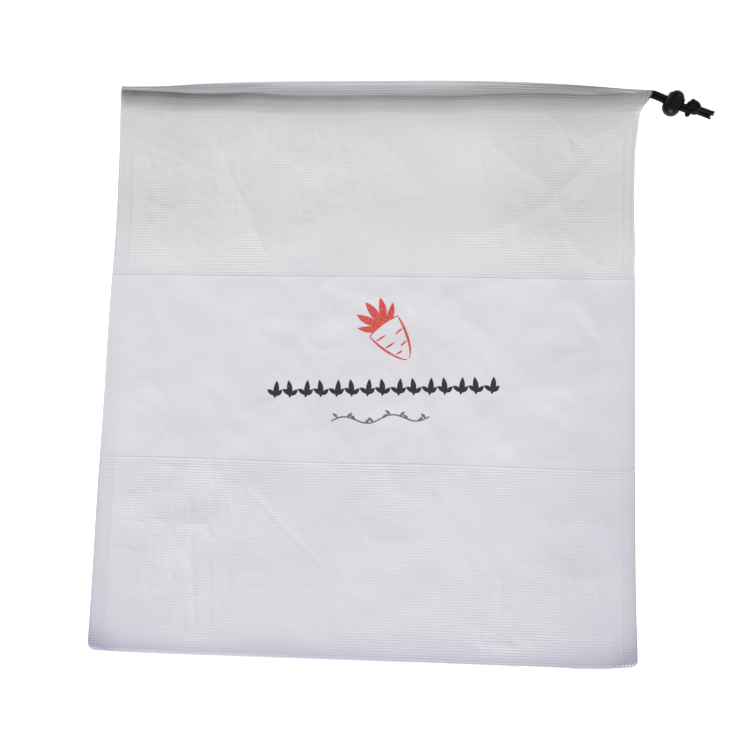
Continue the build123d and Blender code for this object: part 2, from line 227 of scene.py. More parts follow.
def band_weave():
    """Plain-woven polyester, white, finer and smoother than the mesh.

    The true thread is about 0.2 mm; 0.35 mm is the finest that still shows."""
    material, tree, shader = new_material("woven_polyester_band", "#CECBCF", 0.55,
                                          Sheen_Weight=0.15, Sheen_Roughness=0.4)
    cloth_colour(tree, shader, "#D6D3D7", "#D3D2D6")
    # Painted shade: the band turns bluish grey at its seams and folds, partly for the doubled cloth.
    tint(tree, shader, "layers_and_shade", DOUBLED_CLOTH_AND_SHADE)
    weave_bump(tree, shader, 0.35, 0.35, 0.03)
    return material


def thread_material(name, colour):
    """Spun polyester sewing thread: matt, with its twist as fine slanted ridges."""
    material, tree, shader = new_material(name, colour, 0.6, Sheen_Weight=0.2)
    place = add_node(tree, "ShaderNodeTexCoord").outputs["Object"]
    twist = add_node(tree, "ShaderNodeTexWave", {"bands_direction": "DIAGONAL"}, Vector=place,
                     Scale=900.0, Distortion=1.5)
    relief(tree, shader, twist.outputs["Fac"], 0.5, 0.03)
    return material


def braid_material():
    """Braided polyester cord, black: matt, its filaments a little lighter on the crests."""
    material, tree, shader = new_material("braided_black_polyester", "#060607", 0.7,
                                          Sheen_Weight=0.02, Specular_IOR_Level=0.1)
    fibres = noise_on_piece(tree, 4000.0)
    tree.links.new(ramp(tree, fibres, srgb("#040404"), srgb("#0C0C0D")), shader.inputs["Base Color"])
    relief(tree, shader, fibres, 0.5, 0.05)
    return material


def moulded_plastic(name, colour, roughness):
    """Injection-moulded acetal, black, from a finely spark-eroded mould: satin, not mirror."""
    material, tree, shader = new_material(name, colour, roughness, Specular_IOR_Level=0.14)
    relief(tree, shader, noise_on_piece(tree, 3500.0), 0.25, 0.02)
    wear = noise_on_piece(tree, 260.0, 4.0)
    smoother, rougher = (roughness - 0.05,) * 3 + (1,), (roughness + 0.1,) * 3 + (1,)
    tree.links.new(ramp(tree, wear, smoother, rougher), shader.inputs["Roughness"])
    return material


def ink_material(name, colour, speckle):
    """Screen ink on cloth: matt, thinner where the weave's crests lift it."""
    material, tree, shader = new_material(name, colour, 0.7)
    patchy = noise_on_piece(tree, 1500.0, 3.0)
    tree.links.new(ramp(tree, patchy, srgb(speckle), srgb(colour), 0.3, 0.5),
                   shader.inputs["Base Color"])
    return material


def spring_steel():
    """Drawn spring steel wire, bright zinc plated."""
    material, tree, shader = new_material("zinc_plated_spring_wire", "#B9BBBE", 0.3, Metallic=1.0)
    relief(tree, shader, noise_on_piece(tree, 3000.0), 0.2, 0.01)
    return material


UPPER_KNIT = mesh_knit("knitted_mesh_upper", "#DFDCDD", "#DCDADD")
LOWER_KNIT = mesh_knit("knitted_mesh_lower", "#DFDEE3", "#DCDBE1")
BAND = band_weave()
WHITE_THREAD = thread_material("white_polyester_thread", "#CFCDCF")
# Painted shade: the white thread made grey for the bartacks, which lie in shadow by the cord.
SHADED_THREAD = thread_material("white_polyester_thread_in_shade", "#A9A6A8")
BRAID = braid_material()
BARREL = moulded_plastic("moulded_black_acetal", "#0B0A09", 0.36)
BUTTON = moulded_plastic("moulded_black_acetal_button", "#0D0C0B", 0.30)
WIRE = spring_steel()
RED_INK = ink_material("screen_ink_red", "#C2372C", "#DD9388")
BLACK_INK = ink_material("screen_ink_black", "#1A1A1C", "#3A3A3C")
GREY_INK = ink_material("screen_ink_grey", "#5E5E62", "#8E8D91")


# ---- how the cloth lies ------------------------------------------------------------------
def through(*points):
    """A smooth curve through given points, as a function of the first of each pair."""
    at, value = np.array(points, dtype=float).T
    slope = np.gradient(value, at)

    def curve(where):
        where = np.clip(where, at[0], at[-1])
        i = np.clip(np.searchsorted(at, where) - 1, 0, len(at) - 2)
        step = at[i + 1] - at[i]
        t = (where - at[i]) / step
        rise = 3 * t**2 - 2 * t**3
        return (value[i] + (value[i + 1] - value[i]) * rise
                + step * (slope[i] * (t**3 - 2 * t**2 + t) + slope[i + 1] * (t**3 - t**2)))

    return curve


def smooth(t):
    t = np.clip(t, 0, 1)
    return t * t * (3 - 2 * t)


def quarter(t):
    """A quarter circle's rise, from an edge (0) to the flat (1)."""
    return np.sqrt(1 - (1 - np.clip(t, 0, 1)) ** 2)


left_fold = through((BOTTOM, LEFT - 0.9), (-145, LEFT - 0.6), (-74, LEFT - 0.5), (-38, LEFT),
                    (35, LEFT + 0.3), (54, LEFT + 0.7), (82, LEFT + 1.2), (111, LEFT + 0.9),
                    (134, LEFT + 0.5), (150, LEFT), (170, LEFT - 0.2))
right_fold = through((BOTTOM, RIGHT + 0.5), (-139, RIGHT - 0.6), (-96, RIGHT - 1.2),
                     (-23, RIGHT - 1.4), (37, RIGHT - 1.6), (80, RIGHT - 1.9), (99, RIGHT - 2.2),
                     (120, RIGHT - 2.0), (135, RIGHT - 1.3), (150, RIGHT + 0.4))
bottom_fold = through((LEFT, BOTTOM + 0.9), (-140, BOTTOM + 0.3), (-85, BOTTOM - 0.2),
                      (2, BOTTOM - 0.6), (88, BOTTOM - 1.1), (140, BOTTOM - 0.7),
                      (RIGHT, BOTTOM + 0.6))
front_lip = through((LEFT, 168.2), (-140, 167.5), (-120, 166.4), (-101, 166.2), (-82, 166.8),
                    (-63, 165.5), (-45, 165.2), (-20, 165.6), (9, 165.9), (45, 166.3), (64, 167.4),
                    (90, 167.9), (102, 167.8), (118, 167.3), (136, 168.1), (LIP_END, 169.2))
back_lip = through((LEFT, 171.4), (-136, 172.0), (-120, 173.2), (-83, 174.7), (-21, 175.7),
                   (83, 175.5), (120, 173.5), (146, 171.5), (157, 171.0), (LIP_END, 170.5))


def upper_seam(x):
    return UPPER_SEAM - 0.8 + 1.5 * (x - LEFT) / WIDTH + 0.25 * np.sin(x / 31.0 + 1.0)


def lower_seam(x):
    return LOWER_SEAM + 0.9 - 1.8 * (x - LEFT) / WIDTH + 0.3 * np.sin(x / 27.0)


# The casing's right end stands out past the side fold, and narrows down to it.
lip_end = through((146, 154.8), (150, 155.3), (153.5, 155.8), (157.4, 156.6), (159.5, 157.6),
                  (162, 159.4), (164.5, 161.4), (167.5, 162.8), (169, 162.7), (170.8, 161.4),
                  (176, 160.6))
LEFT_CORNER = 5.5  # the bottom corners' radii
RIGHT_CORNER = 3.6


def sides(y, lips=False):
    """The left and right edges at each y, drawn in round the bottom corners.

    lips: the casing's right end stands out past the side fold."""
    left, right = left_fold(y), right_fold(y)
    for radius, side in ((LEFT_CORNER, 1), (RIGHT_CORNER, -1)):
        up = np.clip((y - BOTTOM - 0.7) / radius, 0, 1)
        drawn_in = side * radius * (1 - quarter(up))
        if side == 1:
            left = left + drawn_in
        else:
            right = right + drawn_in
    if lips:
        right = np.where(y > 149, lip_end(y), right)
        left = left + 3.0 * (1 - quarter((172.6 - y) / 3.4))
    return left, right


def across(share, y, lips=False):
    left, right = sides(y, lips)
    return left + (right - left) * share


# Soft creases, each a line of points, its half width and its height.
FOLDS = (
    (((158, 158), (143, 146), (124, 137), (112, 122)), 4.0, 0.50),
    (((144, 139), (130, 127), (116, 113), (104, 101)), 5.0, 0.75),
    (((152, 134), (136, 116), (120, 98)), 4.0, -0.45),
    (((116, 104), (90, 92), (66, 80)), 4.0, 0.35),
    (((92, 158), (104, 150), (112, 138), (116, 124)), 3.5, 0.60),
    (((100, 156), (110, 140), (128, 128)), 3.0, -0.30),
    (((150, 150), (138, 118), (130, 86)), 5.0, 0.30),
    (((146, 92), (132, 70), (128, 56)), 4.0, 0.30),
    (((60, 140), (80, 122), (104, 108)), 4.0, 0.25),
    (((-97, 160), (-100, 136), (-90, 110), (-76, 84), (-66, 60)), 5.0, 0.50),
    (((-110, 152), (-104, 126), (-98, 100)), 4.0, -0.30),
    (((-158, 158), (-146, 150), (-134, 148)), 4.0, 0.40),
    (((-158, 140), (-138, 130), (-112, 122)), 5.0, 0.30),
    (((-152, 100), (-130, 92), (-108, 96)), 5.0, 0.25),
    (((-76, -75), (-50, -100), (-25, -124)), 1.3, -0.24),
    (((-84, -84), (-58, -108), (-36, -130)), 4.0, 0.10),
    (((-107, -88), (-103, -132), (-100, -168)), 4.0, 0.45),
    (((-93, -97), (-90, -132), (-88, -166)), 4.0, -0.30),
    (((-88, -150), (-80, -130), (-62, -118)), 4.0, 0.35),
    (((-139, 29), (-136, -8)), 3.0, 0.35),
    (((-132, 29), (-129, -8)), 3.0, -0.25),
    (((-74, 44), (-66, 20), (-70, -6)), 5.0, 0.25),
    (((40, -80), (56, -108), (60, -140)), 5.0, 0.30),
    (((66, -110), (78, -128), (76, -156)), 4.0, 0.30),
    (((136, -84), (140, -112), (132, -140)), 4.0, 0.40),
    (((128, -120), (136, -146), (142, -160)), 4.0, 0.35),
    (((-20, -96), (10, -108), (34, -104)), 5.0, 0.25),
    (((-30, 150), (-22, 120), (-26, 88)), 6.0, 0.20),
    (((20, 146), (34, 112), (30, 78)), 6.0, -0.20),
    (((112, 34), (124, 10), (122, -20)), 5.0, 0.25),
    (((140, 40), (146, 14), (142, -12)), 3.0, 0.30),
)


def folds(x, y):
    """The height of the soft creases, each fading towards its two ends."""
    height = np.zeros_like(x)
    for line, half_width, rise in FOLDS:
        nearest = np.full_like(x, 1e9)
        fade = np.ones_like(x)
        count = len(line) - 1
        for i in range(count):
            (ax, ay), (bx, by) = line[i], line[i + 1]
            length2 = (bx - ax) ** 2 + (by - ay) ** 2
            t = np.clip(((x - ax) * (bx - ax) + (y - ay) * (by - ay)) / length2, 0, 1)
            gap = np.hypot(x - ax - t * (bx - ax), y - ay - t * (by - ay))
            closer = gap < nearest
            nearest = np.where(closer, gap, nearest)
            fade = np.where(closer, np.sin(pi * np.clip((i + t) / count, 0.02, 0.98)) ** 0.5, fade)
        height += rise * fade * np.exp(-(np.hypot(nearest, 0.7) - 0.7) / (0.8 * half_width))
    return height


RIPPLES = np.random.default_rng(11)
RIPPLE_ANGLES = RIPPLES.uniform(0, tau, 40)
RIPPLE_PHASES = RIPPLES.uniform(0, tau, 40)
RIPPLE_LENGTHS = RIPPLES.uniform(11, 60, 40)  # millimetres, crest to crest


def ripples(x, y, shift=0.0):
    """Low uneven waves in all directions, as in cloth that was folded and shaken out."""
    height = np.zeros_like(x)
    for angle, phase, length in zip(RIPPLE_ANGLES, RIPPLE_PHASES, RIPPLE_LENGTHS):
        run = (x * cos(angle) + y * sin(angle)) * tau / length
        height += 0.0011 * length * np.sin(run + phase + shift)
    return height


def make_crumple():
    """Small sharp creases as a height map over the bag, millimetres: ridged noise on a grid."""
    step = 2.0
    xs = np.arange(LEFT - 6, LIP_END + 8, step)
    ys = np.arange(BOTTOM - 6, BACK_TOP + 8, step)
    table = np.empty((len(ys), len(xs)))
    for j, b in enumerate(ys):
        for i, a in enumerate(xs):
            place = Vector((a / 31 + 7.3, b / 37 - 2.1, 0.4))
            wide = noise.ridged_multi_fractal(place, 1.0, 2.1, 4, 0.95, 2.0)
            where = 0.5 + 0.5 * noise.noise(Vector((a / 70, b / 70, 5.0)))
            table[j, i] = wide * where
    table -= table.mean()

    def height(x, y):
        u = np.clip((x - xs[0]) / step, 1, len(xs) - 3)
        v = np.clip((y - ys[0]) / step, 1, len(ys) - 3)
        i, j = u.astype(int), v.astype(int)
        a, b = smooth(u - i), smooth(v - j)
        return ((table[j, i] * (1 - a) + table[j, i + 1] * a) * (1 - b)
                + (table[j + 1, i] * (1 - a) + table[j + 1, i + 1] * a) * b)

    return height


crumple = make_crumple()


def lift(x, y):
    """The front cloth's height above the back: low over the seams and edges, higher at the mouth."""
    left, right = sides(y)
    side = np.minimum(x - left, right - x)
    low_edge = y - bottom_fold(x)
    z = 1.9 + 0.16 * smooth((ALLOWANCE + 0.9 - side) / 1.8)
    inner = np.clip(side - ALLOWANCE, 0, None)
    z += 1.3 * (1 - np.exp(-inner / 30)) * (1 - np.exp(-np.clip(low_edge, 0, None) / 30))
    z += ((0.85 * folds(x, y) + 0.6 * ripples(x, y) + 0.8 * crumple(x, y))
          * (0.35 + 0.65 * smooth(inner / 12)) * smooth(low_edge / 14))
    mouth = np.clip((y - UPPER_SEAM) / (front_lip(x) - HEM - UPPER_SEAM), 0, 1)
    z += 2.4 * mouth**1.5 * smooth((side + 3) / 14)
    return z


def welt(distance, half_width, height):
    return height * np.exp(-(distance / half_width) ** 2)


def front_height(x, y):
    """The front's outer face, with the ridges of the two seams."""
    z = lift(x, y)
    z += welt(y - upper_seam(x) + 0.9, 1.1, 0.06)
    z += welt(y - lower_seam(x) + 1.4, 1.2, 0.05)
    return z


def back_height(x, y):
    """The back lies on the surface, all but flat."""
    left, right = sides(y)
    side = np.minimum(x - left, right - x)
    low = 0.35 + 0.12 * (1 + np.sin(x / 17.0) * np.sin(y / 23.0))
    return low * smooth(side / 3 + 0.2)


def at_side(z, side_left, side_right, roll=2.4, middle=SIDE_Z):
    """Rounds a face down, or up, to the fold along each side.  None leaves that side open."""
    for side in (side_left, side_right):
        if side is not None:
            z = middle + (z - middle) * quarter(side / roll)
    return z


# ---- making pieces -----------------------------------------------------------------------
def place_vertices(obj, x, y, z):
    """Puts a mesh's vertices at x, y, z in millimetres."""
    places = np.stack([x, y, z], axis=1) * MM
    obj.data.vertices.foreach_set("co", places.astype(np.float32).ravel())
    obj.data.update()


def add_grid(name, columns, rows):
    """A grid whose x and y run from 0 to 1, with its UV map."""
    bpy.ops.mesh.primitive_grid_add(x_subdivisions=columns, y_subdivisions=rows, size=1,
                                    location=(0, 0, 0))
    grid = bpy.context.active_object
    grid.name = name
    return grid


def grid_places(grid):
    """Each vertex's x and y in an unchanged grid, from 0 to 1."""
    places = np.empty(len(grid.data.vertices) * 3, dtype=np.float32)
    grid.data.vertices.foreach_get("co", places)
    return places.reshape(-1, 3)[:, :2].astype(float) + 0.5


def scale_uv(grid, width, length, places=None):
    """Puts the piece's UV map in metres along the cloth, so that a weave keeps its real size.

    places are the vertices' places in the cloth, where the piece no longer holds them."""
    layer = grid.data.uv_layers.active
    loops = np.empty(len(grid.data.loops), dtype=np.int32)
    grid.data.loops.foreach_get("vertex_index", loops)
    if places is None:
        places = grid_places(grid)
    uv = places[loops] * (width * MM, length * MM)
    layer.data.foreach_set("uv", uv.astype(np.float32).ravel())


RIB_PITCH = 1.65
WALE_PITCH = 1.7
RIB_SHARE = 0.73  # of the rib pitch that is rib, and not hole
WALE_SHARE = 0.54  # of the wale pitch that is the link between two ribs


def knit_grid(name, width, length, shift=0.0):
    """A flat piece of the mesh cloth: ribs across, joined by short links, with the holes cut out.

    Returns the piece, each vertex's place in the cloth, from 0 to 1 both ways, and which vertices
    are the middle of a rib.  shift moves the holes by a share of their pitch, away from the edges."""
    columns = round(width / WALE_PITCH)
    ribs = round(length / RIB_PITCH)
    cloth = add_grid(name, 2 * columns, 3 * ribs + 2)
    bpy.ops.object.mode_set(mode="EDIT")
    bpy.ops.mesh.select_mode(type="FACE")
    bpy.ops.mesh.select_all(action="DESELECT")
    bpy.ops.object.mode_set(mode="OBJECT")
    places = grid_places(cloth)
    column = np.rint(places[:, 0] * 2 * columns).astype(int)
    row = np.rint(places[:, 1] * (3 * ribs + 2)).astype(int)
    mesh = cloth.data
    corners = np.empty(len(mesh.loops), dtype=np.int32)
    mesh.loops.foreach_get("vertex_index", corners)
    corners = corners.reshape(-1, 4)
    face_column = column[corners].min(axis=1)
    face_row = row[corners].min(axis=1)
    hole = (face_column % 2 == 1) & (face_row % 3 == 2)
    mesh.polygons.foreach_set("select", hole)
    u = (column // 2 + (column % 2) * WALE_SHARE) / columns
    step = row % 3
    rib = row // 3
    v = (rib + np.array([0, 0.5, 1.0])[step] * RIB_SHARE) / (ribs + RIB_SHARE)
    v = v + shift / ribs * smooth(20 * v) * smooth(20 - 20 * v)
    u = u + shift / columns * smooth(20 * u) * smooth(20 - 20 * u)
    # The height only carries which vertices are a rib's middle through the deletion.
    marked = np.stack([u, v, (step == 1) * 1.0], axis=1)
    mesh.vertices.foreach_set("co", marked.astype(np.float32).ravel())
    bpy.ops.object.mode_set(mode="EDIT")
    bpy.ops.mesh.delete(type="FACE")
    bpy.ops.object.mode_set(mode="OBJECT")
    left_over = np.empty(len(mesh.vertices) * 3, dtype=np.float32)
    mesh.vertices.foreach_get("co", left_over)
    left_over = left_over.reshape(-1, 3).astype(float)
    return cloth, left_over[:, :2], left_over[:, 2]


RIB_CROWN = 0.09  # how far a rib's middle stands above its edges


def finish_piece(obj, material, body, node, smooth_faces=True):
    """Gives a piece its material, hides the CAD nodes that it stands for and hangs it under its body's
    empty.

    "cloth" is the bag's cloth, which the cord gathers near the mouth on the real bag; a cloth piece
    gets no empty, and its place is baked into its vertices."""
    obj.data.materials.clear()
    obj.data.materials.append(material)
    if smooth_faces:
        obj.data.shade_smooth()
    if node:
        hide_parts(*([node] if isinstance(node, str) else node))
    if body == "cloth":
        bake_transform(obj)
    else:
        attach(obj, body)
    obj.select_set(False)


def paint(obj, name, values):
    """A number for each vertex, for the piece's material to read."""
    attribute = obj.data.attributes.new(name, "FLOAT", "POINT")
    attribute.data.foreach_set("value", np.clip(values, 0, 1).astype(np.float32))


def layers_and_shade(x, y):
    """How much the cloth is darkened, from 0 to 1: partly the doubled cloth of the side seams showing
    through, partly painted shade along the side folds, the bottom fold and its corners, and over the
    lower part.
    """
    left, right = sides(y)
    side = np.clip(np.minimum(x - left, right - x), 0, None) + 20 * smooth((y - 146) / 8)
    down = smooth((60 - y) / 200)
    # The seam allowance under each side fold shows through; the folds themselves get painted shade.
    strip = (0.02 + 0.06 * down) * smooth((ALLOWANCE + 0.6 - side) / 1.6)
    strip += (0.10 + 0.22 * down) * np.exp(-side / 3.2)
    lowest = y - bottom_fold(x)
    # Painted shade along the bottom fold, more in the bottom corners.
    hem = 0.60 * np.exp(-(lowest / 6.5) ** 1.1)
    corner = 0.35 * np.exp(-((lowest / 16) ** 2 + (side / 14) ** 2))
    # Painted shade over the lower part, most at the right, and along the bottom, most at the left.
    dim = (0.05 + 0.17 * smooth((x - 70) / 70)) * smooth((70 - y) / 30)
    dim = dim + 0.10 * np.exp(-np.clip(lowest, 0, None) / 25) * (1 + smooth((-90 - x) / 60))
    return np.clip(strip + hem + corner + dim, 0, 1)


def outward(obj, up):
    """Turns the faces so that the cloth's face points up, or down."""
    mesh = obj.data
    normals = np.empty(len(mesh.polygons) * 3, dtype=np.float32)
    mesh.polygons.foreach_get("normal", normals)
    total = normals.reshape(-1, 3)[:, 2].sum()
    if (total > 0) != up:
        mesh.flip_normals()


# ---- the mesh panels ---------------------------------------------------------------------
def casing_profile(share, lip, hem):
    """The front cloth's last stretch, as (y, z) for each share of its length.

    It rises to a low crest at the hem, rolls over and down to the nose round the cord, goes
    round the nose, and returns inside to the hem stitch."""
    nose_y = lip - NOSE_RADIUS
    tangent = radians(67)
    top_y = nose_y + NOSE_RADIUS * cos(tangent)
    top_z = NOSE_Z + NOSE_RADIUS * sin(tangent)
    slope = cos(tangent) / sin(tangent)
    reach = top_y - (lip - hem)
    outer = reach
    arc = NOSE_RADIUS * (tangent + pi / 2)
    inner = hem - NOSE_RADIUS - 1.0
    along = share * (outer + arc + inner)
    down = np.clip(outer - along, 0, reach)
    y_outer = top_y - down
    eased = 0.40 * slope  # the slope loses this much from the nose to the hem, twice over
    crest = top_z + slope * reach - eased * reach
    z_outer = top_z + slope * down - eased * down**2 / reach
    turn = tangent - (along - outer) / NOSE_RADIUS
    y_arc = nose_y + NOSE_RADIUS * np.cos(turn)
    z_arc = NOSE_Z + NOSE_RADIUS * np.sin(turn)
    back = np.clip(along - outer - arc, 0, None)
    y_inner = nose_y - back
    z_inner = NOSE_Z - NOSE_RADIUS + (crest - 1.0 - NOSE_Z + NOSE_RADIUS) * smooth(back / inner)
    y = np.where(along < outer, y_outer, np.where(along < outer + arc, y_arc, y_inner))
    z = np.where(along < outer, z_outer, np.where(along < outer + arc, z_arc, z_inner))
    return y, z, crest


# How much the front mesh is darkened, by the distance below its lip: partly the black cord showing
# through, partly painted shade where the casing rolls away from the light.
dark_at_left = through((0, 0.72), (2, 0.72), (4, 0.58), (6, 0.42), (8.5, 0.30), (11, 0.17),
                       (13.5, 0.10), (17, 0.04), (25, 0.02), (60, 0))
dark_at_right = through((0, 0.52), (2, 0.50), (4, 0.38), (6, 0.26), (8.5, 0.19), (11, 0.13),
                        (13.5, 0.11), (17, 0.08), (25, 0.03), (60, 0))


def side_fold(y, roll, wider):
    """An upper panel's side fold, its roll's width and its height: both grow to the mouth."""
    return roll + wider * smooth((y - 120) / 40), SIDE_Z + 1.6 * smooth((y - 130) / 40)


def fold_at_sides(x, y, z, roll, wider):
    """Rounds an upper panel to its two side folds, but leaves the casing's right end open."""
    left, right = sides(y, lips=True)
    roll, middle = side_fold(y, roll, wider)
    closed = 1 - smooth((y - 147) / 11)
    z = middle + (z - middle) * quarter((x - left) / roll)
    return z + (middle + (z - middle) * quarter((right - x) / roll) - z) * closed


def make_front_upper():
    """The front mesh, from its seam to the lip, over the cord and back inside to the hem."""
    sheet_length = 113.0 - HEM
    casing_length = 27.0
    length = sheet_length + casing_length
    cloth, flat, crown = knit_grid("front_upper_knit", WIDTH + 4, length)
    scale_uv(cloth, WIDTH, length, flat)
    split = sheet_length / length
    share, run = flat[:, 0], flat[:, 1]
    x0 = LEFT + WIDTH * share
    seam = upper_seam(x0)
    lip = front_lip(x0)
    hem_y = lip - HEM
    in_casing = run > split
    y_sheet = seam + (hem_y - seam) * np.clip(run / split, 0, 1)
    y_casing, z_casing, crest = casing_profile((run - split) / (1 - split), lip, HEM)
    y = np.where(in_casing, y_casing, y_sheet)
    x = across(share, y, lips=True)
    z_sheet = front_height(x, np.minimum(y, hem_y))
    at_hem = front_height(x, hem_y)
    gone = np.clip((hem_y - y_sheet) / (hem_y - seam), 0, 1)
    z_sheet = z_sheet + (crest - at_hem) * (1 - gone) ** 1.6 + 9.0 * gone * (1 - gone) ** 6
    z = np.where(in_casing, z_casing, z_sheet)
    hem_line = y - hem_y
    outer = (~in_casing) | (run < split + (1 - split) * 0.48)
    z = z + np.where(outer, welt(hem_line + 1.0, 1.2, 0.06) - welt(hem_line - 0.4, 0.8, 0.05), 0)
    z = z + np.where(outer & in_casing, 0.5 * ripples(x, y * 0.5, 1.3), 0)
    inward = np.where(outer, 1.0, -1.0)
    z = z + crown * RIB_CROWN * inward + 1.1 * smooth((x - 149) / 11) * smooth((y - 152) / 8)
    place_vertices(cloth, x, y, fold_at_sides(x, y, z, 2.4, 2.6))
    # Painted shade below the lip, over the cord that shows through, then painted shade towards the
    # mouth, at the left and over the right half.
    fold_gap = np.clip(lip - y, 0, 60)
    uneven = 0.88 + 0.12 * np.sin(x / 13.0 + 2.0) * np.sin(x / 9.0)
    at_left = smooth((-30 - x) / 80)
    dark = dark_at_right(fold_gap) * (1 - at_left) + dark_at_left(fold_gap) * at_left
    upwards = smooth((y - UPPER_SEAM) / 45)
    broad_shade = upwards * (0.14 + 0.05 * smooth((-90 - x) / 40) + 0.06 * smooth((x - 50) / 50))
    broad_shade = broad_shade + 0.05 * smooth((x - 40) / 80)
    paint(cloth, "cord_and_shade", dark * uneven + broad_shade)
    # Painted shade at the side folds, with the doubled cloth showing through.
    paint(cloth, "layers_and_shade", layers_and_shade(x, y))
    outward(cloth, True)
    finish_piece(cloth, UPPER_KNIT, "cloth", "front_upper_mesh")


back_cord_line = through((LEFT, 164.6), (-140, 161.8), (-118, 160.6), (-82, 160.4), (0, 160.2),
                         (50, 160.6), (90, 161.2), (120, 162.8), (142, 166.0), (157, 168.7),
                         (LIP_END, 169.0))


def make_back_upper():
    """The back mesh: flat to its lip, then folded inwards over its own cord to its hem."""
    rise = BACK_TOP - UPPER_SEAM
    length = rise + BACK_HEM + 2.0
    cloth, flat, crown = knit_grid("back_upper_knit", WIDTH + 4, length, 0.5)
    scale_uv(cloth, WIDTH, length, flat)
    share, run = flat[:, 0], flat[:, 1]
    x0 = LEFT + WIDTH * share
    seam = upper_seam(x0)
    lip = back_lip(x0)
    radius = 0.55
    arc = pi * radius
    total = (lip - radius - seam) + arc + BACK_HEM
    along = run * total
    flat_end = lip - radius - seam
    back = np.clip(along - flat_end - arc, 0, None)
    turn = -pi / 2 + np.clip(along - flat_end, 0, arc) / radius
    y = np.where(along < flat_end, seam + along,
                 np.where(along < flat_end + arc, lip - radius + radius * np.cos(turn),
                          lip - radius - back))
    x = across(share, y, lips=True)
    low = back_height(x, y)
    z_arc = low + radius + radius * np.sin(turn)
    off_cord = y - back_cord_line(x0)
    humped = 0.45 + 2.75 * np.where(off_cord > 0, smooth(1.25 - off_cord / 9.0) ** 1.2,
                                    smooth(1.6 + off_cord / 2.6)) * smooth(back / 2.2)
    humped = humped * (1 + 0.45 * smooth((x0 - 118) / 34))
    z = np.where(along < flat_end, low,
                 np.where(along < flat_end + arc, z_arc, low + 1.1 + humped - 0.45))
    z = z - crown * RIB_CROWN * np.where(along < flat_end + arc / 2, 1.0, -1.0)
    z = fold_at_sides(x, y, z, 1.8, 2.0)
    place_vertices(cloth, x, y, np.maximum(z, FLOOR_GAP))
    outward(cloth, False)
    # Painted shade: the back's turned-in strip lies in the shadow of the front's roll, darker to the
    # right, and darker still next to its lip.
    inside_strip = (along > flat_end) * 1.0
    turned = 0.30 * np.exp(-np.clip(lip - y, 0, None) / 2.2) * smooth((x + 130) / 50)
    paint(cloth, "cord_and_shade", (0.14 + 0.22 * smooth((x - 10) / 90)) * inside_strip
          + turned * (along > flat_end - 3))
    finish_piece(cloth, UPPER_KNIT, "cloth", "back_upper_mesh")


def make_lower(front):
    """Half of the lower mesh, from its seam to the bottom fold, where the two halves meet."""
    name = "front_lower_knit" if front else "back_lower_knit"
    length = LOWER_SEAM - BOTTOM + 1.0
    cloth, flat, crown = knit_grid(name, WIDTH + 2, length, 0.0 if front else 0.5)
    scale_uv(cloth, WIDTH, length, flat)
    share, run = flat[:, 0], flat[:, 1]
    x0 = LEFT + WIDTH * share
    top, low = lower_seam(x0), bottom_fold(x0)
    y = low + (top - low) * run
    x = across(share, y)
    left, right = sides(y)
    if front:
        z = front_height(x, y) + crown * RIB_CROWN
    else:
        z = back_height(x, y) - crown * RIB_CROWN
    z = at_side(z, x - left, right - x)
    z = SIDE_Z + (z - SIDE_Z) * quarter((y - bottom_fold(x)) / 2.4)
    place_vertices(cloth, x, y, np.maximum(z, FLOOR_GAP))
    outward(cloth, front)
    # Painted shade at the side folds and the bottom fold, with the doubled cloth showing through.
    paint(cloth, "layers_and_shade", layers_and_shade(x, y))
    finish_piece(cloth, LOWER_KNIT, "cloth", "lower_mesh")


def make_band(front):
    """The plain woven band, its two long edges turned under at the seams."""
    name = "front_band_cloth" if front else "back_band_cloth"
    length = UPPER_SEAM - LOWER_SEAM
    cloth = add_grid(name, 320, 120)
    flat = grid_places(cloth)
    scale_uv(cloth, WIDTH, length)
    share, run = flat[:, 0], flat[:, 1]
    x0 = LEFT + WIDTH * share
    y = lower_seam(x0) - 0.25 + (upper_seam(x0) - lower_seam(x0) + 0.5) * run
    turned_in = quarter(np.minimum(run, 1 - run) * length / 0.9)
    x = across(share, y)
    left, right = sides(y)
    if front:
        z = front_height(x, y) + 0.02 + 0.18 * turned_in
    else:
        z = back_height(x, y) - 0.1
    z = at_side(z, x - left, right - x)
    place_vertices(cloth, x, y, np.maximum(z, FLOOR_GAP))
    outward(cloth, front)
    # Painted shadow: a thin dark line along the band's lower edge, over its turned-under edge.
    lower_edge_shadow = 0.42 * np.exp(-((y - lower_seam(x)) / 0.8) ** 2)
    paint(cloth, "layers_and_shade", layers_and_shade(x, y) + lower_edge_shadow)
    node = "front_center_panel" if front else "back_center_panel"
    finish_piece(cloth, BAND, "cloth", node)


make_front_upper()
make_back_upper()
make_lower(True)
make_lower(False)
make_band(True)
make_band(False)


# ---- repeated small shapes ---------------------------------------------------------------
def copies(name, pattern, matrices):
    """One piece made of many copies of a small mesh, each with its own vertices."""
    mesh = pattern.data
    count = len(mesh.vertices)
    places = np.empty(count * 3, dtype=np.float32)
    mesh.vertices.foreach_get("co", places)
    places = np.c_[places.reshape(-1, 3), np.ones(count)]
    faces = [tuple(face.vertices) for face in mesh.polygons]
    all_places = np.concatenate([places @ np.array(matrix).T for matrix in matrices])[:, :3]
    all_faces = [tuple(v + i * count for v in face) for i in range(len(matrices)) for face in faces]
    joined = bpy.data.meshes.new(name)
    joined.from_pydata(all_places.tolist(), [], all_faces)
    joined.update()
    obj = bpy.data.objects.new(name, joined)
    bpy.context.collection.objects.link(obj)
    bpy.data.objects.remove(pattern)
    return obj


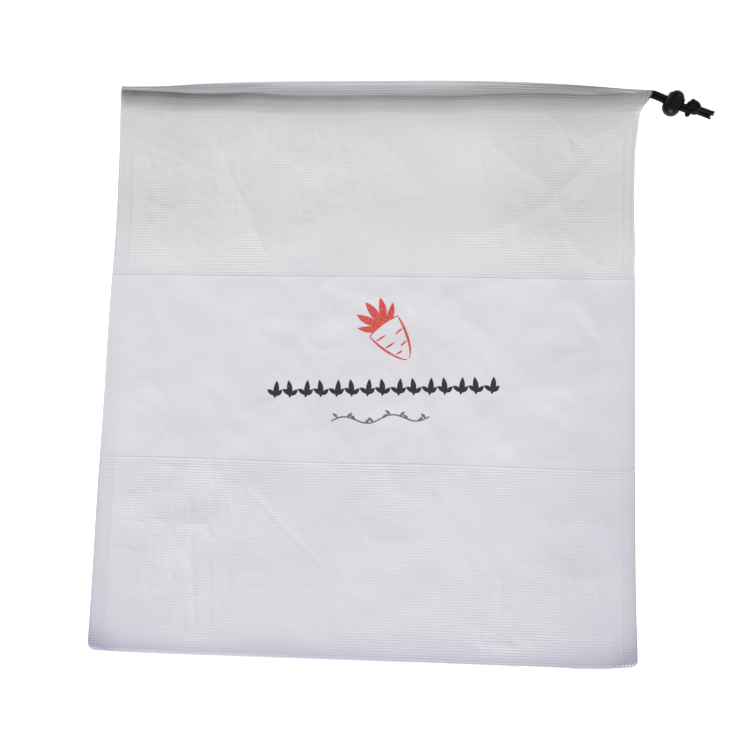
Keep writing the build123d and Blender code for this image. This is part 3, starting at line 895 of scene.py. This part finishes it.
def stitch_pattern(length, width, height):
    """One stitch, millimetres: a short thread that dips into the cloth at both ends."""
    bpy.ops.mesh.primitive_uv_sphere_add(segments=8, ring_count=6, radius=1, location=(0, 0, 0),
                                         rotation=(0, pi / 2, 0))
    stitch = bpy.context.active_object
    bpy.ops.object.transform_apply(location=False, rotation=True, scale=False)
    for vertex in stitch.data.vertices:
        x, y, z = vertex.co
        vertex.co = (x * length / 2, y * width / 2, z * height / 2 - 0.35 * height * x * x)
    return stitch


STITCH_PITCH = 2.6
STITCH_LENGTH = 2.1
STITCH_WIDTH = 0.42
ROW_INSET = 3.0  # a row stops this far short of the side folds


def stitch_row(name, node, line, surface, height=0.34, proud=0.12):
    """A row of lockstitches along y = line(x), lying on surface(x, y)."""
    start, end = LEFT + ROW_INSET, RIGHT - ROW_INSET
    count = int((end - start) / STITCH_PITCH)
    x = start + STITCH_PITCH * (np.arange(count) + 0.5)
    y = line(x)
    z = surface(x, y) + proud
    turn = np.arctan2(line(x + 1) - line(x - 1), 2)
    tilt = np.arctan2(surface(x + 0.8, line(x + 0.8)) - surface(x - 0.8, line(x - 0.8)), 1.6)
    matrices = [
        Matrix.Translation(Vector((a, b, c)) * MM) @ Matrix.Rotation(float(t), 4, "Z")
        @ Matrix.Rotation(-float(s), 4, "Y") @ Matrix.Scale(MM, 4)
        for a, b, c, t, s in zip(x, y, z, turn, tilt)
    ]
    row = copies(name, stitch_pattern(STITCH_LENGTH, STITCH_WIDTH, height), matrices)
    finish_piece(row, WHITE_THREAD, "cloth", node)


def front_surface(x, y):
    """The front's outer face with its sides rounded down to their folds."""
    left, right = sides(y)
    return at_side(front_height(x, y), x - left, right - x)


def casing_surface(x, y):
    """The front's outer face near the hem, where it has risen to the casing's crest."""
    crest = casing_profile(np.zeros_like(x), front_lip(x), HEM)[2]
    roll, middle = side_fold(y, 2.4, 2.6)
    return middle + (crest - middle) * quarter((x - sides(y)[0]) / roll)


def back_inner(x, y):
    """The back's inner face, one layer of cloth above its outer one."""
    return back_height(x, y) + 0.35


stitch_row("front_hem_stitches", "front_casing_stitching", lambda x: front_lip(x) - HEM + 0.4,
           casing_surface, proud=-0.05)
stitch_row("front_upper_seam_stitches", "front_upper_seam_stitching", lambda x: upper_seam(x) - 1.0,
           front_surface, proud=0.18)
stitch_row("front_lower_seam_stitches", "front_lower_seam_stitching", lambda x: lower_seam(x) - 1.2,
           front_surface, height=0.26, proud=0.10)
stitch_row("back_hem_stitches", "back_casing_stitching", lambda x: back_lip(x) - BACK_HEM - 0.2,
           back_inner, proud=0.6)
stitch_row("back_upper_seam_stitches", "back_upper_seam_stitching", lambda x: upper_seam(x) - 1.0,
           back_inner)
stitch_row("back_lower_seam_stitches", "back_lower_seam_stitching", lambda x: lower_seam(x) - 1.2,
           back_inner)


# ---- the side seams ----------------------------------------------------------------------
def make_overlock(name, node, left_side):
    """The two raw edges inside a side fold, laid flat and overlocked together."""
    bottom, top = BOTTOM + 3, 153.0
    length = top - bottom
    strip = add_grid(name, 8, 160)
    flat = grid_places(strip)
    scale_uv(strip, ALLOWANCE, length)
    y = bottom + length * flat[:, 1]
    left, right = sides(y)
    inset = 0.9 + (ALLOWANCE - 0.9) * flat[:, 0]
    x = left + inset if left_side else right - inset
    z = (front_surface(x, y) + back_height(x, y)) / 2 - 0.05
    place_vertices(strip, x, y, z)
    outward(strip, True)
    bpy.context.view_layer.objects.active = strip
    thick = strip.modifiers.new("two layers", "SOLIDIFY")
    thick.thickness = 0.5 * MM
    thick.offset = 0
    bpy.ops.object.modifier_apply(modifier=thick.name)
    pitch = 2.4
    from_edge = 1.6  # the loops' middle, from the raw edges
    y = bottom + pitch * (np.arange(int(length / pitch)) + 0.5)
    left, right = sides(y)
    x = left + ALLOWANCE - from_edge if left_side else right - ALLOWANCE + from_edge
    z = (front_surface(x, y) + back_height(x, y)) / 2 + 0.3
    matrices = []
    for place in np.stack([x, y, z], axis=1):
        for lean in (-32, 32):
            matrices.append(Matrix.Translation(Vector(place) * MM)
                            @ Matrix.Rotation(radians(lean), 4, "Z") @ Matrix.Scale(MM, 4))
    loops = copies(name + "_thread", stitch_pattern(3.6, 0.4, 0.35), matrices)
    finish_piece(loops, WHITE_THREAD, "cloth", ())
    finish_piece(strip, UPPER_KNIT, "cloth", node, smooth_faces=False)


make_overlock("left_side_seam_edge", "left_side_overlock", True)
make_overlock("right_side_seam_edge", "right_side_overlock", False)


# ---- the cord ----------------------------------------------------------------------------
def spline_points(route, resolution=24):
    """Points along the smooth NURBS line that a route's points control, in metres."""
    curve = bpy.data.curves.new("route", "CURVE")
    curve.dimensions = "3D"
    spline = curve.splines.new("NURBS")
    spline.points.add(len(route) - 1)
    for point, place in zip(spline.points, route):
        point.co = (*place, 1)
    spline.order_u = 3
    spline.use_endpoint_u = True
    spline.resolution_u = resolution
    holder = bpy.data.objects.new("route", curve)
    mesh = bpy.data.meshes.new_from_object(holder)
    points = [vertex.co.copy() for vertex in mesh.vertices]
    bpy.data.objects.remove(holder)
    return points


def evenly(points, step):
    """The same line with its points a step apart."""
    points = np.array(points)
    run = np.r_[0, np.cumsum(np.linalg.norm(np.diff(points, axis=0), axis=1))]
    count = max(2, int(round(run[-1] / step)) + 1)
    where = np.linspace(0, run[-1], count)
    return np.stack([np.interp(where, run, points[:, i]) for i in range(3)], axis=1), where


BRAID_STARTS = 5  # diamonds round the cord
BRAID_PITCH = 2.3  # millimetres along the cord
BRAID_RELIEF = 0.11
AROUND = 30  # vertices round the cord


def braided_cord(name, points, radius=CORD_RADIUS, step=0.38, closed=False):
    """A tube along points, its surface raised in the diamonds of a braid."""
    line, run = evenly(points, step * MM)
    if closed:
        line, run = line[:-1], run[:-1]
    count = len(line)
    tangents = np.roll(line, -1, 0) - np.roll(line, 1, 0) if closed else np.gradient(line, axis=0)
    tangents /= np.linalg.norm(tangents, axis=1)[:, None]
    side = Vector(tangents[0]).orthogonal().normalized()
    rings = []
    for i in range(count):
        tangent = Vector(tangents[i])
        side = (side - tangent * side.dot(tangent)).normalized()
        other = tangent.cross(side)
        angle = tau * np.arange(AROUND) / AROUND
        bumps = np.cos(BRAID_STARTS * angle) * cos(tau * run[i] / (BRAID_PITCH * MM))
        reach = (radius - BRAID_RELIEF + BRAID_RELIEF * bumps) * MM
        ring = (line[i] + np.outer(np.cos(angle) * reach, np.array(side))
                + np.outer(np.sin(angle) * reach, np.array(other)))
        rings.append(ring)
    places = np.concatenate(rings)
    faces = []
    last = count if closed else count - 1
    for i in range(last):
        after = (i + 1) % count
        for j in range(AROUND):
            k = (j + 1) % AROUND
            faces.append((i * AROUND + j, i * AROUND + k, after * AROUND + k, after * AROUND + j))
    if not closed:
        faces.append(tuple(range(AROUND - 1, -1, -1)))
        faces.append(tuple((count - 1) * AROUND + j for j in range(AROUND)))
    mesh = bpy.data.meshes.new(name)
    mesh.from_pydata(places.tolist(), [], faces)
    mesh.update()
    cord = bpy.data.objects.new(name, mesh)
    bpy.context.collection.objects.link(cord)
    return cord, line


def metres(*points):
    """A route's points, given in millimetres."""
    return [Vector(point) * MM for point in points]


CORNER_X = LEFT + 10.2
FRONT_RUN = metres(
    (CORNER_X, float(front_lip(CORNER_X)) - 2.3, 3.9),
    *[(x, float(front_lip(x)) - 1.9, 4.0) for x in (-140, -120, -101, -82, -63, -45, -20, 9, 45)],
    *[(x, float(front_lip(x)) - 1.9, 4.0) for x in (64, 90, 102, 118, 136)],
    (149, 165.7, 4.0), (158, 165.9, 4.1),
)
BACK_RUN = metres(
    (CORNER_X, float(front_lip(CORNER_X)) - 3.6, 2.2), (-140, 161.8, 1.9), (-118, 160.6, 1.9),
    (-82, 160.4, 1.9), (-40, 160.2, 1.9), (0, 160.2, 1.9), (50, 160.6, 1.9), (90, 161.2, 1.9),
    (120, 162.6, 1.9), (142, 165.8, 2.1), (158, 168.4, 2.6),
)
BIGHT = metres(
    (CORNER_X, float(front_lip(CORNER_X)) - 2.3, 4.1), (CORNER_X - 3.4, 165.6, 4.0),
    (CORNER_X - 3.6, 164.8, 2.4), (CORNER_X, float(front_lip(CORNER_X)) - 3.6, 2.2),
)
FRONT_TAIL = metres(
    (157.0, 165.9, 4.1), (160.4, 166.2, 4.9), (163.44, 165.33, 5.5), (166.54, 163.89, 5.5),
    (175.03, 159.92, 5.5), (183.18, 156.11, 5.5),
    (190.0, 156.5, 3.0), (193.4, 155.7, 1.7), (197.4, 154.1, 1.5),
)
BACK_TAIL = metres(
    (157.0, 168.4, 2.6), (161.0, 168.5, 3.6), (164.16, 167.98, 5.5), (167.66, 166.34, 5.5),
    (176.17, 162.38, 5.5), (184.33, 158.58, 5.5),
    (190.4, 158.6, 4.4), (194.4, 157.4, 3.7), (199.6, 155.8, 2.9),
)

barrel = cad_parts["lock_barrel"]
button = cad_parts["lock_button"]
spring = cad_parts["lock_spring"]
for node, material in ((barrel, BARREL), (button, BUTTON), (spring, WIRE)):
    node.data.materials.clear()
    node.data.materials.append(material)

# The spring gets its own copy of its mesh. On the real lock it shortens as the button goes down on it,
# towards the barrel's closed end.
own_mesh(spring)


def make_cord():
    for name, route, node in (("front_cord", FRONT_RUN, "drawstring_front_run"),
                              ("back_cord", BACK_RUN, "drawstring_back_run")):
        run, _ = braided_cord(name, spline_points(route), step=0.55)
        finish_piece(run, BRAID, "drawstring", node)
    turn, _ = braided_cord("cord_turn", spline_points(BIGHT), step=0.45)
    finish_piece(turn, BRAID, "cloth", "drawstring_bight")


def frayed_end(name, tip, before, seed):
    """The cut end of a tail: its filaments spread and bent."""
    rng = np.random.default_rng(seed)
    forward = (Vector(tip) - Vector(before)).normalized()
    side = forward.orthogonal().normalized()
    other = forward.cross(side)
    bpy.ops.mesh.primitive_cone_add(vertices=5, radius1=0.13, radius2=0.05, depth=1.0,
                                    location=(0, 0, 0.5))
    fibre = bpy.context.active_object
    bpy.ops.object.transform_apply(location=True, rotation=False, scale=False)
    matrices = []
    for _ in range(46):
        angle, reach = rng.uniform(0, tau), CORD_RADIUS * rng.uniform(0.1, 0.92) ** 0.5
        outwards = side * cos(angle) + other * sin(angle)
        lean = forward + outwards * rng.uniform(0.0, 0.45) + side * rng.normal(0, 0.1)
        start = Vector(tip) + outwards * reach * MM - forward * 0.5 * MM
        turn = lean.normalized().to_track_quat("Z", "Y").to_matrix().to_4x4()
        size = Matrix.Diagonal((MM, MM, rng.uniform(0.9, 1.9) * MM, 1))
        matrices.append(Matrix.Translation(start) @ turn @ size)
    fibres = copies(name, fibre, matrices)
    for vertex in fibres.data.vertices:
        vertex.co.z = max(vertex.co.z, 0.1 * MM)
    finish_piece(fibres, BRAID, "drawstring", (), smooth_faces=False)
    return fibres


def make_knot():
    """An overhand knot in both tails, pulled tight, with one small slack loop beside the lock."""
    low, high = box_mm("drawstring_knot")
    middle = (low + high) / 2 + Vector((-0.1, 0.7, 0.3))
    strands = []
    for turn_z, lean, size, height in ((-25, 24, 1.12, 0.0), (38, -30, 1.04, 0.2),
                                       (80, 50, 0.94, 0.3)):
        turn = Matrix.Rotation(radians(turn_z), 3, "Z") @ Matrix.Rotation(radians(lean), 3, "Y")
        points = []
        for i in range(180):
            t = tau * i / 180
            ring = (2.1 + 0.95 * cos(3 * t)) * size
            loop = Vector((ring * cos(2 * t), ring * sin(2 * t) * 1.12, 1.35 * size * sin(3 * t)))
            points.append((middle + turn @ loop + Vector((0, 0, height))) * MM)
        points.append(points[0])
        strands.append(braided_cord("overhand_knot", points, step=0.4, closed=True)[0])
    slack = [(middle + Vector(offset)) * MM for offset in
             ((-0.6, -1.6, 0.6), (-2.6, -3.6, 0.4), (-4.1, -5.2, -0.6), (-3.4, -2.4, -1.6),
              (-0.4, -1.0, -1.4))]
    strands.append(braided_cord("slack", spline_points(slack), step=0.4)[0])
    bpy.ops.object.select_all(action="DESELECT")
    for strand in strands:
        strand.select_set(True)
    bpy.context.view_layer.objects.active = strands[0]
    bpy.ops.object.join()
    knot = strands[0]
    finish_piece(knot, BRAID, "drawstring", "drawstring_knot")
    return knot


TAIL_RADIUS = 1.45  # the braid opens a little where no casing holds it

make_cord()
knot = make_knot()
for name, route, nodes, seed in (
    ("front_tail_cord", FRONT_TAIL, ("drawstring_front_tail", "drawstring_front_end"), 3),
    ("back_tail_cord", BACK_TAIL, ("drawstring_back_tail", "drawstring_back_end"), 5),
):
    tail, line = braided_cord(name, spline_points(route), TAIL_RADIUS, step=0.36)
    finish_piece(tail, BRAID, "drawstring", nodes)
    fray = frayed_end(name + "_fray", line[-1], line[-4], seed)


# ---- the bartacks ------------------------------------------------------------------------
def make_bartack(name, node, x, y, z):
    """Two short bars of close thread across the casing's end."""
    matrices = []
    for column in (-0.8, 0.8):
        for i in range(9):
            place = Vector((x + column, y + (i - 4) * 0.5, z))
            lean = Matrix.Rotation(radians(8 if i % 2 else -8), 4, "Z")
            matrices.append(Matrix.Translation(place * MM) @ lean @ Matrix.Scale(MM, 4))
    bars = copies(name, stitch_pattern(0.8, 0.4, 0.3), matrices)
    finish_piece(bars, SHADED_THREAD, "cloth", node)


make_bartack("front_mouth_bartack", "front_casing_bartack", 156.3, 166.2, 6.7)
make_bartack("back_mouth_bartack", "back_casing_bartack", 156.3, 168.3, 4.9)


# ---- the print ---------------------------------------------------------------------------
INK_PROUD = 0.3  # above the mesh's height, as the band itself stands 0.2 above it


def drape_print(obj):
    """Lays a flat printed shape on the front band."""
    count = len(obj.data.vertices)
    places = np.empty(count * 3, dtype=np.float32)
    obj.data.vertices.foreach_get("co", places)
    places = places.reshape(-1, 3).astype(float) / MM
    x, y = places[:, 0], places[:, 1]
    place_vertices(obj, x, y, front_height(x, y) + INK_PROUD)


def turned(points, angle, centre=(0, 0)):
    """A flat outline turned about its origin by an angle in degrees, then put at centre."""
    spin = Matrix.Rotation(radians(angle), 2)
    return [spin @ Vector(point) + Vector(centre) for point in points]


def make_print(name, node, shapes, material):
    """Filled outlines, in millimetres, as one thin draped piece."""
    places, faces = [], []
    for shape in shapes:
        first = len(places)
        places += [(p.x * MM, p.y * MM, 0) for p in shape]
        faces.append(tuple(range(first, len(places))))
    mesh = bpy.data.meshes.new(name)
    mesh.from_pydata(places, [], faces)
    obj = bpy.data.objects.new(name, mesh)
    bpy.context.collection.objects.link(obj)
    bpy.context.view_layer.objects.active = obj
    obj.select_set(True)
    bpy.ops.object.mode_set(mode="EDIT")
    bpy.ops.mesh.select_all(action="SELECT")
    bpy.ops.mesh.quads_convert_to_tris()
    bpy.ops.mesh.subdivide(number_cuts=1)
    bpy.ops.object.mode_set(mode="OBJECT")
    drape_print(obj)
    outward(obj, True)
    finish_piece(obj, material, "cloth", node)


def leaf(length, width, bend=0.0, count=10):
    """A pointed leaf from the origin along +y."""
    t = np.linspace(0, 1, count)
    right = [(bend * sin(pi * a) + width / 2 * sin(pi * a) ** 0.8, length * a) for a in t]
    left = [(bend * sin(pi * a) - width / 2 * sin(pi * a) ** 0.8, length * a) for a in t[-2:0:-1]]
    return right + left


def stroke(points, width, taper=True):
    """A brush stroke along points: a ribbon that thins towards its ends."""
    line = np.array([tuple(p) for p in points])
    along = np.gradient(line, axis=0)
    along /= np.linalg.norm(along, axis=1)[:, None]
    side = np.stack([-along[:, 1], along[:, 0]], axis=1)
    t = np.linspace(0, 1, len(line))
    half = width / 2 * (np.sin(pi * np.clip(t, 0.04, 0.96)) ** 0.5 if taper else np.ones(len(t)))
    offset = side * half[:, None]
    return [Vector(p) for p in np.concatenate([line + offset, (line - offset)[::-1]])]


def carrot_shapes():
    """A carrot drawn with a brush: an open outline, a few short rings, and a tuft of leaves."""
    shapes = []
    root = 25.0
    top_half = 10.4

    def half_width(depth):
        return top_half * (1 - depth**1.5) ** 0.62

    for side, width in ((1, 1.5), (-1, 1.3)):
        shapes.append(stroke([(side * half_width(a), -root * a) for a in np.linspace(0, 0.99, 26)],
                             width))
    shoulder = np.linspace(-top_half, top_half, 18)
    shapes.append(stroke([(x, 1.6 * (1 - (x / top_half) ** 2)) for x in shoulder], 1.5))
    for depth, start, end in ((0.18, -0.9, -0.25), (0.30, 0.30, 0.88), (0.45, -0.85, -0.1),
                              (0.60, 0.15, 0.8), (0.72, -0.7, 0.0)):
        shapes.append(stroke([(half_width(depth) * x, -root * depth - 0.7 * (1 - x * x))
                              for x in np.linspace(start, end, 8)], 1.0))
    for lean, length, width, bend in ((-62, 15, 4.0, 1.8), (-32, 16.5, 4.6, 1.0), (0, 17, 4.8, 0.2),
                                      (32, 16.5, 4.6, -1.0), (62, 15, 4.0, -1.8)):
        shapes.append(turned(leaf(length, width, bend), lean, (0, 1.4)))
    return shapes


CARROT_CENTRE = (4.4, 21.5)
CARROT_TURN = 38
GARLAND_CENTRE = (5.0, -15.4)
GARLAND_STEP = 9.2
SPRIG_SIZE = 1.12
FLOURISH_CENTRE = (4.0, -34.4)
PRINT_SLANT = 2.2  # degrees: the print isn't quite level with the seams


def garland_shapes():
    """A row of upright sprigs, each of three leaves."""
    shapes = []
    for i in range(-7, 8):
        x = i * GARLAND_STEP
        place = Vector(GARLAND_CENTRE) + Vector((x, x * sin(radians(PRINT_SLANT))))
        lean = -6 if i % 2 else 6
        for angle, length, width, foot in ((lean, 9.6, 3.0, -4.9), (52, 5.2, 2.3, -3.4),
                                           (-52, 5.2, 2.3, -3.4)):
            sprig = turned(leaf(length, width, 0.3), angle, (0, foot))
            shapes.append([p * SPRIG_SIZE + place for p in sprig])
    return shapes


def flourish_shapes():
    """A thin trailing stem with small leaves, drawn with a fine brush."""
    line = [(x, 2.2 * sin(x / 4.6)) for x in np.linspace(-29, 29, 90)]
    stem = turned(line, PRINT_SLANT + 1.5, FLOURISH_CENTRE)
    shapes = [stroke(stem[start:start + 12], 0.75, taper=False) for start in range(0, 89, 11)]
    for i in range(6, 88, 8):
        angle = -50 if (i // 8) % 2 else 50
        shapes.append(turned(leaf(4.2, 1.5, 0.2, 8), angle, stem[i]))
    return shapes


make_print("red_carrot_print", "printed_carrot",
           [turned(shape, CARROT_TURN, CARROT_CENTRE) for shape in carrot_shapes()],
           RED_INK)
make_print("black_garland_print", "printed_garland", garland_shapes(), BLACK_INK)
make_print("grey_flourish_print", "printed_flourish", flourish_shapes(), GREY_INK)


# ---- the floor and the light -------------------------------------------------------------
def make_floor():
    """A white backdrop that glows a little, but not under the bag, where its holes would show it."""
    bpy.ops.mesh.primitive_plane_add(size=60, location=(0, 0, -0.0002))
    floor = bpy.context.active_object
    floor.name = "floor"
    bpy.ops.object.transform_apply(location=True, rotation=False, scale=False)
    material, tree, shader = new_material("white_backdrop", "#FAFAFA", 0.8)
    shader.inputs["Emission Color"].default_value = srgb("#FFFFFF")
    place = add_node(tree, "ShaderNodeTexCoord").outputs["Object"]
    parts = add_node(tree, "ShaderNodeSeparateXYZ", Vector=place)
    beyond = []
    for axis, middle, half in (("X", LEFT / 2 + RIGHT / 2, WIDTH / 2 - 3), ("Y", -3.0, 165.0)):
        gap = add_node(tree, "ShaderNodeMath", {"operation": "SUBTRACT"},
                       i0=parts.outputs[axis], i1=middle * MM)
        gap = add_node(tree, "ShaderNodeMath", {"operation": "ABSOLUTE"}, i0=gap.outputs[0])
        gap = add_node(tree, "ShaderNodeMath", {"operation": "GREATER_THAN"},
                       i0=gap.outputs[0], i1=half * MM)
        beyond.append(gap.outputs[0])
    clear = add_node(tree, "ShaderNodeMath", {"operation": "MAXIMUM"}, i0=beyond[0], i1=beyond[1])
    glow = add_node(tree, "ShaderNodeMath", {"operation": "MULTIPLY"}, i0=clear.outputs[0], i1=0.55)
    tree.links.new(glow.outputs[0], shader.inputs["Emission Strength"])
    floor.data.materials.append(material)


def make_lights():
    """Soft light from all round, white where the camera sees past the floor, and three lamps."""
    world = bpy.data.worlds.new("studio")
    world.use_nodes = True
    background = world.node_tree.nodes["Background"]
    background.inputs["Color"].default_value = srgb("#F4F5FA")
    seen = add_node(world.node_tree, "ShaderNodeLightPath").outputs["Is Camera Ray"]
    strength = add_node(world.node_tree, "ShaderNodeMath", {"operation": "MULTIPLY_ADD"},
                        i0=seen, i1=0.7, i2=0.5)
    world.node_tree.links.new(strength.outputs[0], background.inputs["Strength"])
    bpy.context.scene.world = world
    for name, kind, place, size, power, colour in (
        ("key", "SUN", (-0.20, -1.80, 0.84), radians(24), 4.0, "#FFFDF8"),
        ("rim", "AREA", (0.9, 0.8, 0.9), 0.35, 4, "#FFFFFF"),
        ("cool_side", "AREA", (-1.5, 0.2, 0.8), 1.0, 3, "#D5E0FF"),
    ):
        bpy.ops.object.light_add(type=kind, location=place)
        lamp = bpy.context.active_object
        lamp.name = name
        if kind == "SUN":
            lamp.data.angle = size
        else:
            lamp.data.shape = "DISK"
            lamp.data.size = size
        lamp.data.energy = power
        lamp.data.color = srgb(colour)[:3]
        lamp.rotation_euler = (-Vector(place)).to_track_quat("-Z", "Y").to_euler()
    bpy.context.scene.view_settings.view_transform = "Standard"


make_floor()
make_lights()
